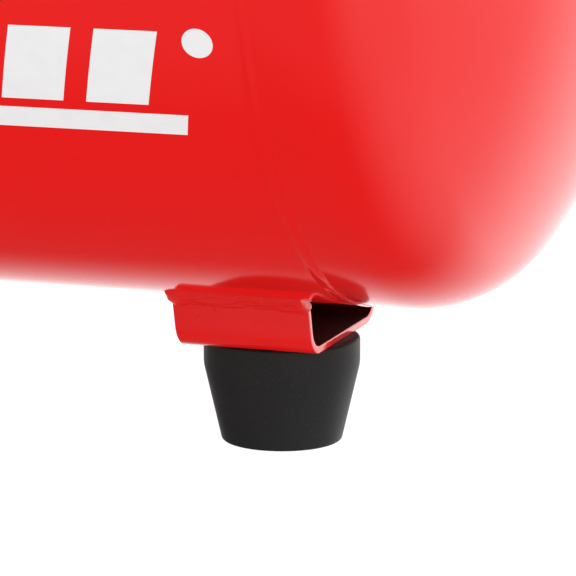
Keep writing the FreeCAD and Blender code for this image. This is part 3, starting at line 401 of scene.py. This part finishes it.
def piece(name, bm, material, body="tank", sharp=32, stands_for=()):
    """Smooth-shaded object that rides on a body, or on none."""
    mesh = bpy.data.meshes.new(name)
    bm.to_mesh(mesh)
    bm.free()
    mesh.materials.append(material)
    mesh.polygons.foreach_set("use_smooth", [True] * len(mesh.polygons))
    mesh.set_sharp_from_angle(angle=math.radians(sharp))
    thing = bpy.data.objects.new(name, mesh)
    bpy.context.scene.collection.objects.link(thing)
    if body:
        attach(thing, body)
    if stands_for:
        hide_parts(*stands_for)
    return thing


def repaint(material, *nodes):
    """Give CAD nodes a finish without touching their meshes."""
    for name in nodes:
        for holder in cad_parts[name].material_slots:
            holder.material = material


def tank_place(mirror=1):
    return Vector((0, 0, TANK_Z)), AXIS_X * mirror, AXIS_Z


# ---- pressure vessel -------------------------------------------------------------


# How far a head's lip reaches into the shell from the seam, the hole left for a boss, half the seam's gap.
LIP_REACH, BOSS_RADIUS, HALF_GAP = 13 * MM, 20 * MM, 1 * MM
EDGE_ROUND = 0.5 * MM
SEAM_STEPS = 14


def seam_bump(along, width, crown):
    """Height of a painted seam at a distance from its middle."""
    reach = min(1, abs(along) / (width / 2))
    return crown * (math.cos(math.pi * reach) + 1) / 2


def shell_mesh():
    inside = TANK_RADIUS - sizes().wall
    end = SHELL_END
    outline = rounded([(-end, TANK_RADIUS, EDGE_ROUND), (end, TANK_RADIUS, EDGE_ROUND), (end, inside, 0),
                       (-end, inside, 0)])
    return spun(outline, tank_place(), sizes().round_steps)


def head_profile():
    """Torispherical head: crown, knuckle and skirt outside, the same offset by the wall inside."""
    size = sizes()
    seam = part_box("head_right")[0].x + LIP_REACH
    tangent = seam + size.skirt
    rise = TANK_RADIUS - size.knuckle
    span = math.sqrt((size.dish - size.knuckle) ** 2 - rise ** 2)
    crown_x = tangent - span
    turn = math.degrees(math.atan2(rise, span))
    start = math.degrees(math.asin(BOSS_RADIUS / size.dish))
    outer = arc((crown_x, 0), size.dish, start, turn, 40)
    outer += arc((tangent, rise), size.knuckle, turn, 90, 24)[1:]
    inner = arc((tangent, rise), size.knuckle - size.wall, 90, turn, 16)
    inner += arc((crown_x, 0), size.dish - size.wall, turn, start, 24)[1:]
    edge = seam + HALF_GAP
    lip = arc((edge + EDGE_ROUND, TANK_RADIUS - EDGE_ROUND), EDGE_ROUND, 90, 180, 4)
    return outer + lip + [(edge, TANK_RADIUS - size.wall)] + inner


def seam_ring(centre_x, width, crown):
    """Flat weld ring that closes the gap between shell and head."""
    paint_film = 0.02 * MM
    top = []
    for index in range(SEAM_STEPS + 1):
        along = width * (index / SEAM_STEPS - 0.5)
        top.append((centre_x + along, TANK_RADIUS + paint_film + seam_bump(along, width, crown)))
    base = TANK_RADIUS - sizes().wall
    return top + [(centre_x + HALF_GAP, base), (centre_x - HALF_GAP, base)]


def ripple(bm, depth):
    """Waviness of a weld bead round the tank."""
    along_pitch, round_pitch = 40, 260
    for vert in bm.verts:
        out = Vector((0, vert.co.y, vert.co.z - TANK_Z))
        if out.length > TANK_RADIUS:
            share = (out.length - TANK_RADIUS) / depth
            wave = noise.noise(Vector((vert.co.x * along_pitch, out.y * round_pitch, out.z * round_pitch)))
            vert.co += out.normalized() * depth * 0.5 * wave * share
    return bm


def build_vessel():
    paint = material_of(enamel)
    size = sizes()
    piece("shell_skin", shell_mesh(), paint, stands_for=["shell"])
    profile = head_profile()
    seam_x = (SHELL_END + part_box("girth_weld_right")[1].x) / 2
    for side, mirror in (("right", 1), ("left", -1)):
        head = spun(profile, tank_place(mirror), size.round_steps)
        piece(f"head_{side}_skin", head, paint, stands_for=[f"head_{side}"])
        section = seam_ring(seam_x, size.seam_width, size.seam_crown)
        ring = spun(section, tank_place(mirror), size.round_steps * 2)
        ripple(ring, size.seam_crown)
        piece(f"girth_seam_{side}", ring, paint, stands_for=[f"girth_weld_{side}"])
    repaint(paint, "seam_weld", "wheel_bracket_front", "wheel_bracket_rear", "pump_platform", "handle_ears",
            "check_valve_socket", "switch_socket", "safety_valve_socket", "drain_socket",
            "inspection_boss_right", "inspection_boss_left")
    rough = material_of(enamel, "enamel_on_weld", 0.24, 0.5)
    repaint(rough, "wheel_bracket_welds", "platform_welds", "handle_ear_welds", "socket_welds", "boss_welds")


# ---- foot ------------------------------------------------------------------------

# Heights are above the underside of the bracket.
FLANGE_TOP = 20.5 * MM
# Where the bead's upper edge lies on the tank: out from a flange at this height.
BEAD_TOP, BEAD_SPREAD = 19 * MM, 8.5 * MM
# Where its lower edge lies on the flange, and the bend between the two.
BEAD_LOW = 15 * MM
ELBOW_FLANGE, ELBOW_SPREAD, ELBOW_HEIGHT = 17.5 * MM, 3.5 * MM, 16.6 * MM
BEAD_TILT = math.radians(35)
# How far the bead runs past the bracket's ends, how much its ends bow, and how deep its root lies.
BEAD_OVERRUN, BEAD_BOW, BEAD_ROOT = 0.9 * MM, 0.4 * MM, -2.5 * MM


def bracket_side(inset, bend):
    """Rear half of the flared channel's outline, from the middle of its base to above the flange."""
    size = sizes()
    corner = size.bracket_corner - inset * math.tan((math.pi / 2 - size.bracket_flare) / 2)
    low = FOOT_TOP + inset
    high = FOOT_TOP + FLANGE_TOP
    lean = math.tan(size.bracket_flare)
    return [(corner, low, bend), (corner + (high - low) * lean, high, 0)]


def build_bracket():
    size = sizes()
    outer = bracket_side(0, size.bracket_bend)
    inner = bracket_side(size.bracket_sheet, size.bracket_bend - size.bracket_sheet)
    right = outer + inner[::-1]
    left = [(-across, up, radius) for across, up, radius in reversed(right)]
    outline = rounded(right + left, 12)
    place = (Vector((BRACKET_LOW.x, size.bracket_offset, 0)), AXIS_Y, AXIS_Z, AXIS_X)
    bm = extruded(outline, place, BRACKET_HIGH.x - BRACKET_LOW.x)
    ends = [edge for edge in bm.edges if len({round(vert.co.x, 6) for vert in edge.verts}) == 1]
    soften(bm, ends, 0.35 * MM, 3)
    paint = material_of(enamel, "enamel_on_bracket", 0.16, 0.04)
    sheet = piece("foot_bracket_sheet", bm, paint, stands_for=["foot_bracket"])
    # Faces that point into the channel get the second material: near-black paint standing in for the shade
    # inside it.
    sheet.data.materials.append(material_of(painted_shade_enamel))
    heart = Vector((0, size.bracket_offset, FOOT_TOP + 16 * MM))
    for face in sheet.data.polygons:
        towards = heart - face.center
        towards.x = 0
        if abs(face.normal.x) < 0.5 and face.normal.dot(towards) > 0:
            face.material_index = 1


def flange_face(side, rise):
    """Outer face of a flange at a height above its base, across the tank."""
    size = sizes()
    return size.bracket_offset + side * (size.bracket_corner + rise * math.tan(size.bracket_flare))


def wobble(x, pitch, row, lane=0):
    """Smooth noise along the tank, from -1 to 1; row and lane pick a strip of it."""
    return noise.noise(Vector((x * pitch, row, lane)))


def bead_section(side, share, wave, creep, swell):
    """Point of a bead's face between the shell (share 0) and the flange (share 1)."""
    edge = flange_face(side, BEAD_TOP) + side * BEAD_SPREAD
    angle = math.asin(edge / TANK_RADIUS) + side * wave
    high = Vector((TANK_RADIUS * math.sin(angle), TANK_Z - TANK_RADIUS * math.cos(angle)))
    rise = BEAD_LOW - creep
    low = Vector((flange_face(side, rise), FOOT_TOP + rise))
    elbow = Vector((flange_face(side, ELBOW_FLANGE) + side * ELBOW_SPREAD, FOOT_TOP + ELBOW_HEIGHT))
    bend = (1 - share) ** 2 * high + 2 * share * (1 - share) * elbow + share ** 2 * low
    outward = Vector((side * math.cos(BEAD_TILT), -math.sin(BEAD_TILT)))
    return bend + outward * swell * math.sin(math.pi * share)


def build_bead(name, side):
    """Hand-laid weld bead that closes one flange to the tank, wavy along both edges."""
    bm = bmesh.new()
    bmesh.ops.create_grid(bm, x_segments=170, y_segments=26, size=1)
    grown = bmesh.ops.extrude_face_region(bm, geom=bm.faces[:])
    for item in grown["geom"]:
        if isinstance(item, bmesh.types.BMVert):
            item.co.z = 1
    length = BRACKET_HIGH.x - BRACKET_LOW.x
    for vert in bm.verts:
        along, share, face = (vert.co.x + 1) / 2, (vert.co.y + 1) / 2, vert.co.z > 0.5
        bow = BEAD_BOW * (1 - 2 * along) * math.cos(3 * share)
        x = BRACKET_LOW.x + along * (length + BEAD_OVERRUN) + bow
        taper = min(1, along * 20, (1 - along) * 20) ** 0.5
        wave = 0.010 * wobble(x, 110, 3.1 + side) + 0.004 * wobble(x, 380, 7) - 0.008 * (1 - taper)
        creep = 1.3 * MM * wobble(x, 150, 11.4 + side) - 2.2 * MM * (1 - taper)
        swell = (0.7 + 0.5 * wobble(x, 200, 5.5, side)) * MM * taper if face else BEAD_ROOT
        spot = bead_section(side, share, wave, creep, swell)
        if face:
            drawn = 0.4 * wobble(x, 120, share * 11, 2 + side) + 0.16 * wobble(x, 420, share * 30, 4 + side)
            spot += Vector((side * 0.8, -0.6)) * drawn * MM * math.sin(math.pi * share) ** 0.5
        vert.co = Vector((x, spot.x, spot.y))
    add_spatter(bm, side)
    bmesh.ops.recalc_face_normals(bm, faces=bm.faces)
    return piece(name, bm, material_of(enamel, "enamel_on_bead", 0.2, 0.8), sharp=60)


def add_spatter(bm, side):
    """Small painted drops of weld metal beside the bead."""
    chance = random.Random(41 + side)
    drops, margin = 14, 3 * MM
    for _ in range(drops):
        x = chance.uniform(BRACKET_LOW.x + margin, BRACKET_HIGH.x - margin)
        rise = chance.uniform(9, 14) * MM
        spot = (x, flange_face(side, rise), FOOT_TOP + rise)
        drop = Matrix.Translation(spot) @ Matrix.Diagonal((1.6, 0.5, 0.8, 1))
        bmesh.ops.create_icosphere(bm, subdivisions=2, radius=chance.uniform(0.15, 0.35) * MM, matrix=drop)


def build_rubber_foot():
    top = (FOOT_HIGH.x - FOOT_LOW.x) / 2
    base = top - 5.85 * MM
    recess, recess_depth, hole, collar = 10.5 * MM, 20 * MM, 4.5 * MM, 8.5 * MM
    outline = rounded([
        (0, base, 1.5 * MM),
        (FOOT_TOP - collar, top, 14 * MM),
        (FOOT_TOP, top, 0.9 * MM),
        (FOOT_TOP, hole, 0.3 * MM),
        (recess_depth, hole, 0),
        (recess_depth, recess, 0),
        (0, recess, 0.5 * MM),
    ], 6)
    bm = spun(outline, (FOOT_AXIS, AXIS_Z, AXIS_X), 128)
    black = material_of(rubber, "foot_rubber", tuple(colours().foot_rubber), 0.5, 0.02)
    piece("rubber_foot_moulding", bm, black, stands_for=["rubber_foot"])
    repaint(material_of(zinc), "foot_insert", "foot_bolt", "foot_nut")


# ---- printed stripes ---------------------------------------------------------------


def wrapped(bm, lift):
    """Lay flat work, drawn as x along the tank and z down its front, round the shell."""
    for vert in bm.verts:
        angle = vert.co.z / TANK_RADIUS
        radius = TANK_RADIUS + lift + vert.co.y
        vert.co = Vector((vert.co.x, -radius * math.cos(angle), TANK_Z - radius * math.sin(angle)))
    bmesh.ops.recalc_face_normals(bm, faces=bm.faces)
    return bm


def flat_shape(bm, corners):
    """Thin slab from (x, down) corners in millimetres."""
    ring = [bm.verts.new((x * MM, 0, down * MM)) for x, down in corners]
    face = bm.faces.new(ring)
    grown = bmesh.ops.extrude_face_region(bm, geom=[face])
    moved = [item for item in grown["geom"] if isinstance(item, bmesh.types.BMVert)]
    bmesh.ops.translate(bm, verts=moved, vec=(0, 0.06 * MM, 0))


def build_print():
    """Plain slanted blocks over a long bar and a dot: a mark that stands for nobody. All in millimetres."""
    bm = bmesh.new()
    block, gap, slant = 19.0, 7.0, 6.5
    top, low, last = 50.0, 74.5, 268.0
    for index in range(6):
        x = last - index * (block + gap)
        flat_shape(bm, [(x - block + slant, top), (x + slant, top), (x, low), (x - block, low)])
    bar_top, bar_low = 77.6, 84.8
    flat_shape(bm, [(120.0, bar_top), (279.4, bar_top), (277.8, bar_low), (118.4, bar_low)])
    dot_x, dot_down, dot_radius, sides = 286, 53.2, 4.6, 32
    turns = [turn * math.tau / sides for turn in range(sides)]
    flat_shape(bm, [(dot_x + dot_radius * math.cos(turn), dot_down + dot_radius * math.sin(turn))
                    for turn in turns])
    # Cuts along the tank let the flat work bend round it.
    for cut in range(45, 90, 2):
        bmesh.ops.bisect_plane(bm, geom=bm.verts[:] + bm.edges[:] + bm.faces[:], plane_co=(0, 0, cut * MM),
                               plane_no=AXIS_Z)
    piece("printed_stripes", wrapped(bm, 0.02 * MM), material_of(stripe_print), sharp=40)


# ---- running gear, handle and fittings -----------------------------------------------


def build_wheels():
    tyre = material_of(rubber, "tyre_rubber", (0.022, 0.022, 0.023), 0.7, 0.12)
    rim = material_of(plastic, "rim_plastic", (0.02, 0.02, 0.021))
    for side in ("front", "rear"):
        repaint(tyre, f"wheel_tyre_{side}")
        repaint(rim, f"wheel_rim_{side}")
        repaint(material_of(plastic, "bush_nylon", (0.7, 0.67, 0.58)), f"wheel_bush_{side}")
        repaint(material_of(zinc), f"axle_bolt_{side}", f"axle_washers_{side}", f"axle_nut_{side}")


def build_handle():
    repaint(material_of(powder_coat), "handle_tube")
    repaint(material_of(zinc), "handle_bolts", "handle_nuts")
    repaint(material_of(rubber, "grip_rubber", (0.02, 0.02, 0.02), 0.75, 0.06), "handle_grip")


# Node, wire radius in mm, turns, body under the spring and body above it.
SPRINGS = (("check_spring", 0.7, 5, "tank", "check_disc"), ("safety_spring", 0.6, 6, "safety_stem", "tank"))


def coil_mesh(node, wire, turns):
    """Round wire wound right-handed between the ends of a node's box."""
    low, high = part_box(node)
    axis = middle(node)
    radius = (high.x - low.x) / 2 - wire
    steps, sides = 32 * turns, 12
    rim = [math.tau * side / sides for side in range(sides)]
    bm = bmesh.new()
    rings = []
    for index in range(steps + 1):
        angle = math.tau * turns * index / steps
        out = Vector((math.cos(angle), math.sin(angle), 0))
        height = low.z + wire + (high.z - low.z - 2 * wire) * index / steps
        centre = Vector((axis.x, axis.y, height)) + out * radius
        rings.append([bm.verts.new(centre + out * wire * math.cos(turn) + AXIS_Z * wire * math.sin(turn))
                      for turn in rim])
    for ring, after in zip(rings, rings[1:]):
        for side in range(sides):
            beside = (side + 1) % sides
            bm.faces.new((ring[side], after[side], after[beside], ring[beside]))
    bm.faces.new(rings[0])
    bm.faces.new(rings[-1])
    bmesh.ops.recalc_face_normals(bm, faces=bm.faces)
    return bm


def build_springs():
    """Coils wound between the ends of each spring's box, riding on no body."""
    for node, wire, turns, under, over in SPRINGS:
        spring = piece(node + "_wire", coil_mesh(node, wire * MM, turns), material_of(zinc),
                       body=None, stands_for=[node])
        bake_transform(spring)


def build_fittings():
    repaint(material_of(brass), "check_valve_body", "check_valve_cap", "safety_valve_body",
            "safety_valve_bonnet", "safety_stem", "safety_pull_knob", "drain_valve_body", "drain_needle",
            "drain_wing_screw")
    repaint(material_of(zinc), "inspection_plug_right", "inspection_plug_left")
    build_springs()
    repaint(material_of(plastic, "seal_fibre", (0.3, 0.08, 0.05), 0.6), "plug_seals")
    repaint(material_of(rubber, "valve_rubber", (0.02, 0.02, 0.02)), "check_disc")
    repaint(material_of(brushed_aluminium), "data_plate")


# ---- stage ---------------------------------------------------------------------------

SURROUND = 0.12
# Axis, where along it a glow starts, where it is full, and how strong it is.
GLOWS = (("Z", -0.5, -0.1, 0.45), ("X", 0.0, 0.75, 0.95), ("Y", 0.5, 0.95, 1.25), ("Y", -0.3, -0.75, 0.2))
# Name, place, what it points at, width, height and watts.
LIGHTS = (
    ("key", (-0.9, -1.8, 1.6), (0.1, 0, 0.2), 1.2, 1.2, 14),
    ("fill", (1.9, -1.2, 1.2), (0.2, 0, 0.2), 1.0, 1.4, 4),
    ("back", (0.2, 1.8, 1.8), (0, 0, 0.2), 1.6, 1.0, 10),
)
# The camera's lens in mm, and its place and aim from the foot's top.
CAMERA_LENS = 246.7
CAMERA_PLACE, CAMERA_AIM = Vector((0.4046, -1.1626, 0.2603)), Vector((0.0008, 0.0036, 0.0147))


def build_floor():
    """White floor that takes a faint shadow; glossy rays pass it and meet the surround."""
    half_width = 6
    bm = bmesh.new()
    bmesh.ops.create_grid(bm, x_segments=1, y_segments=1, size=half_width)
    mesh = bpy.data.meshes.new("floor")
    bm.to_mesh(mesh)
    bm.free()
    floor = bpy.data.objects.new("floor", mesh)
    bpy.context.scene.collection.objects.link(floor)
    white = Shader("floor_white", base_color=(0.18, 0.18, 0.18, 1), roughness=0.9, specular_ior_level=0.05,
                   emission_color=(1, 1, 1, 1), emission_strength=0.96)
    mesh.materials.append(white.material)
    floor.visible_glossy = False


def build_world():
    """Dim surround with soft glows for the gloss to catch: above, at the foot end, behind and in front."""
    world = bpy.data.worlds.new("studio")
    bpy.context.scene.world = world
    world.use_nodes = True
    sky = Graph(world.node_tree, "Background")
    sky.surface.inputs["Color"].default_value = (1, 1, 1, 1)
    direction = sky.node("ShaderNodeTexCoord", output="Generated")
    total = SURROUND
    for axis, start, end, strength in GLOWS:
        along = sky.node("ShaderNodeSeparateXYZ", {}, {0: direction}, axis)
        sockets = {"Value": along, "From Min": start, "From Max": end, "To Min": 0, "To Max": strength}
        total = sky.node("ShaderNodeMapRange", {"interpolation_type": "SMOOTHSTEP"}, sockets) + total
    sky.feed("Strength", total)


def area_light(name, place, aim, width, height, watts):
    light = bpy.data.lights.new(name, "AREA")
    light.shape = "RECTANGLE"
    light.size, light.size_y, light.energy = width, height, watts
    lamp = bpy.data.objects.new(name, light)
    lamp.location = place
    lamp.rotation_euler = (Vector(aim) - Vector(place)).to_track_quat("-Z", "Y").to_euler()
    bpy.context.scene.collection.objects.link(lamp)


def build_camera():
    """Close view of the foot, nineteen degrees round from the front and twelve up."""
    foot = FOOT_AXIS + AXIS_Z * FOOT_TOP
    lens = bpy.data.cameras.new("camera")
    lens.sensor_width = 36
    lens.lens = CAMERA_LENS
    lens.clip_end = 50
    camera = bpy.data.objects.new("camera", lens)
    camera.location = foot + CAMERA_PLACE
    aim = foot + CAMERA_AIM
    camera.rotation_euler = (aim - camera.location).to_track_quat("-Z", "Y").to_euler()
    bpy.context.scene.collection.objects.link(camera)
    bpy.context.scene.camera = camera


def build_stage():
    build_floor()
    build_world()
    for light in LIGHTS:
        area_light(*light)
    build_camera()
    view = bpy.context.scene.view_settings
    view.view_transform = "Standard"
    view.look = "None"


# ---- add-on ----------------------------------------------------------------------------


class RECEIVER_OT_stage(bpy.types.Operator):
    """Set up floor, surround, lights and camera"""

    bl_idname = "receiver.stage"
    bl_label = "Stage"

    def execute(self, context):
        build_stage()
        return {"FINISHED"}


class RECEIVER_OT_vessel(bpy.types.Operator):
    """Build shell, heads and girth seams"""

    bl_idname = "receiver.vessel"
    bl_label = "Pressure vessel"

    def execute(self, context):
        build_vessel()
        return {"FINISHED"}


class RECEIVER_OT_foot(bpy.types.Operator):
    """Build foot bracket, weld beads and rubber foot"""

    bl_idname = "receiver.foot"
    bl_label = "Foot"

    def execute(self, context):
        build_bracket()
        front = build_bead("foot_bead_front", -1)
        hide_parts("foot_bracket_welds")
        build_bead("foot_bead_rear", 1)
        build_rubber_foot()
        return {"FINISHED"}


class RECEIVER_OT_print(bpy.types.Operator):
    """Print the plain stripes on the shell"""

    bl_idname = "receiver.print"
    bl_label = "Printed stripes"

    def execute(self, context):
        build_print()
        return {"FINISHED"}


class RECEIVER_OT_wheels(bpy.types.Operator):
    """Finish wheels, axle bolts and their washers"""

    bl_idname = "receiver.wheels"
    bl_label = "Wheels"

    def execute(self, context):
        build_wheels()
        return {"FINISHED"}


class RECEIVER_OT_handle(bpy.types.Operator):
    """Finish the carrying bow and its grip"""

    bl_idname = "receiver.handle"
    bl_label = "Handle"

    def execute(self, context):
        build_handle()
        return {"FINISHED"}


class RECEIVER_OT_fittings(bpy.types.Operator):
    """Finish valves, plugs and plate"""

    bl_idname = "receiver.fittings"
    bl_label = "Fittings"

    def execute(self, context):
        build_fittings()
        return {"FINISHED"}


OPERATORS = (RECEIVER_OT_stage, RECEIVER_OT_vessel, RECEIVER_OT_foot, RECEIVER_OT_print, RECEIVER_OT_wheels,
             RECEIVER_OT_handle, RECEIVER_OT_fittings)


class RECEIVER_PT_panel(bpy.types.Panel):
    """Air receiver tank"""

    bl_idname = "RECEIVER_PT_panel"
    bl_label = "Air receiver tank"
    bl_space_type = "VIEW_3D"
    bl_region_type = "UI"
    bl_category = "Receiver"

    def draw(self, context):
        for operator in OPERATORS:
            self.layout.operator(operator.bl_idname)
        for group in (context.scene.receiver_sizes, context.scene.receiver_colours):
            for name in group.__annotations__:
                self.layout.prop(group, name)


CLASSES = (ReceiverSizes, ReceiverColours, *OPERATORS, RECEIVER_PT_panel)


def register():
    for cls in CLASSES:
        bpy.utils.register_class(cls)
    bpy.types.Scene.receiver_sizes = PointerProperty(type=ReceiverSizes)
    bpy.types.Scene.receiver_colours = PointerProperty(type=ReceiverColours)


def unregister():
    del bpy.types.Scene.receiver_colours
    del bpy.types.Scene.receiver_sizes
    for cls in reversed(CLASSES):
        bpy.utils.unregister_class(cls)


def main():
    register()
    for operator in OPERATORS:
        group, name = operator.bl_idname.split(".")
        getattr(getattr(bpy.ops, group), name)()


if __name__ == "__main__":
    main()
